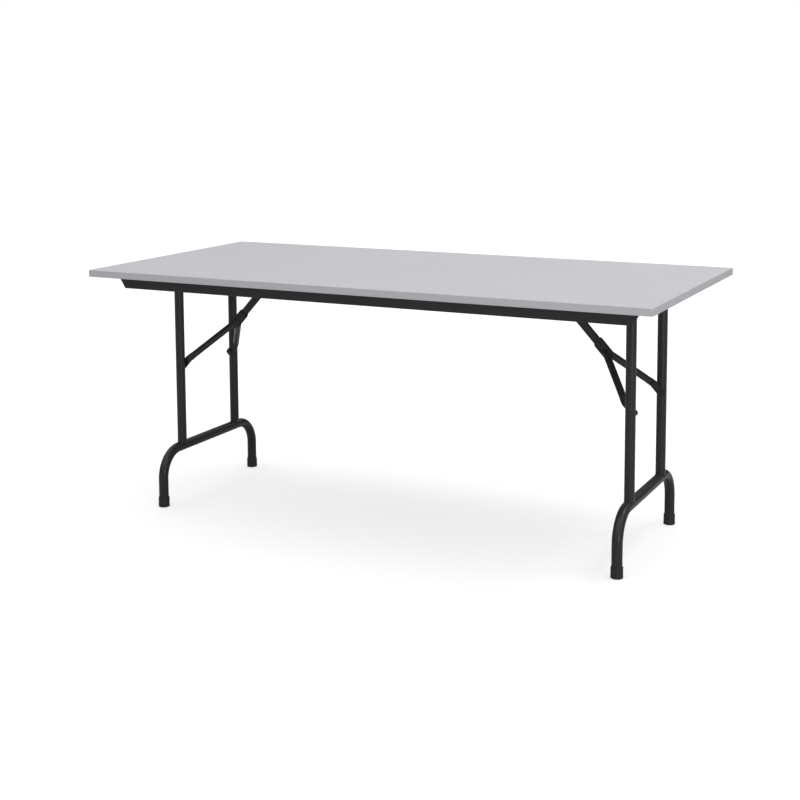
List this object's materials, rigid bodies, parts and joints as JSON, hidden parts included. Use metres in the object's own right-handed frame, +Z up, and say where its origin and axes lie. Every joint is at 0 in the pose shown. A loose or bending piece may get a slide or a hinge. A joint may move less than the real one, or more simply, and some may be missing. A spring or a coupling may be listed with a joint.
{
  "type": "folding table",
  "caption": "Rectangular folding table: laminated top on steel aprons, tubular leg frames with bent foot loops that fold under the top on jointed braces",
  "frame": {"origin": "on the floor under the middle of the top, table unfolded", "axes": "+Z up, X along the table, Y across it, -Y is the front edge"},
  "size_m": [1.7, 0.82, 0.74],
  "materials": {
    "particle_board": "raw pressed chips, hidden inside the top",
    "grey_laminate": "light grey laminate with a fine satin grain",
    "backer_paper": "plain matt backing laminate",
    "grey_edging": "satin plastic edging, a shade darker than the top",
    "black_steel": "satin black powder coat",
    "black_plastic": "moulded plastic",
    "blackened_steel": "blackened fasteners, a little shinier than the tubes",
    "zinc_steel": "zinc plated"
  },
  "bodies": {
    "table": {"top_core": "particle_board", "top_laminate": "grey_laminate", "backer_sheet": "backer_paper", "edge_band": "grey_edging", "front_apron": "black_steel", "rear_apron": "black_steel", "apron_screws": "zinc_steel", "right_front_pivot_bracket": "black_steel", "right_rear_pivot_bracket": "black_steel", "left_front_pivot_bracket": "black_steel", "left_rear_pivot_bracket": "black_steel", "pivot_bracket_screws": "zinc_steel", "right_strut_bracket": "black_steel", "left_strut_bracket": "black_steel", "strut_bracket_screws": "zinc_steel", "right_strut_pin": "blackened_steel", "left_strut_pin": "blackened_steel"},
    "right_leg": {"right_pivot_tube": "black_steel", "right_pivot_plugs": "black_plastic", "right_front_upright": "black_steel", "right_rear_upright": "black_steel", "right_foot_loop": "black_steel", "right_front_foot_cap": "black_plastic", "right_rear_foot_cap": "black_plastic", "right_brace_bolts": "blackened_steel"},
    "right_strut_link": {"right_strut": "black_steel"},
    "right_yoke": {"right_front_brace_arm": "black_steel", "right_rear_brace_arm": "black_steel", "right_knee_channel": "black_steel", "right_knee_rivet": "blackened_steel", "right_brace_nuts": "blackened_steel"},
    "left_leg": {"left_pivot_tube": "black_steel", "left_pivot_plugs": "black_plastic", "left_front_upright": "black_steel", "left_rear_upright": "black_steel", "left_foot_loop": "black_steel", "left_front_foot_cap": "black_plastic", "left_rear_foot_cap": "black_plastic", "left_brace_bolts": "blackened_steel"},
    "left_strut_link": {"left_strut": "black_steel"},
    "left_yoke": {"left_front_brace_arm": "black_steel", "left_rear_brace_arm": "black_steel", "left_knee_channel": "black_steel", "left_knee_rivet": "blackened_steel", "left_brace_nuts": "blackened_steel"}
  },
  "joints": [
    {"name": "right_leg_fold", "type": "hinge", "parent": "table", "child": "right_leg", "pos_m": [0.717, 0, 0.694], "axis": [0, 1, 0], "range_deg": [0, 90]},
    {"name": "right_strut_fold", "type": "hinge", "parent": "table", "child": "right_strut_link", "pos_m": [0.463, 0, 0.694], "axis": [0, 1, 0], "range_deg": [-47.6, 0]},
    {"name": "right_knee_fold", "type": "hinge", "parent": "right_strut_link", "child": "right_yoke", "pos_m": [0.58191, 0, 0.56386], "axis": [0, 1, 0], "range_deg": [0, 180.02]},
    {"name": "left_leg_fold", "type": "hinge", "parent": "table", "child": "left_leg", "pos_m": [-0.717, 0, 0.694], "axis": [0, -1, 0], "range_deg": [0, 90]},
    {"name": "left_strut_fold", "type": "hinge", "parent": "table", "child": "left_strut_link", "pos_m": [-0.463, 0, 0.694], "axis": [0, -1, 0], "range_deg": [-47.6, 0]},
    {"name": "left_knee_fold", "type": "hinge", "parent": "left_strut_link", "child": "left_yoke", "pos_m": [-0.58191, 0, 0.56386], "axis": [0, -1, 0], "range_deg": [0, 180.02]}
  ],
  "couplings": [
    {"joint": "right_strut_fold", "follows": "right_leg_fold", "ratio": -0.5287},
    {"joint": "right_knee_fold", "follows": "right_leg_fold", "ratio": 2},
    {"joint": "left_strut_fold", "follows": "left_leg_fold", "ratio": -0.5287},
    {"joint": "left_knee_fold", "follows": "left_leg_fold", "ratio": 2}
  ]
}
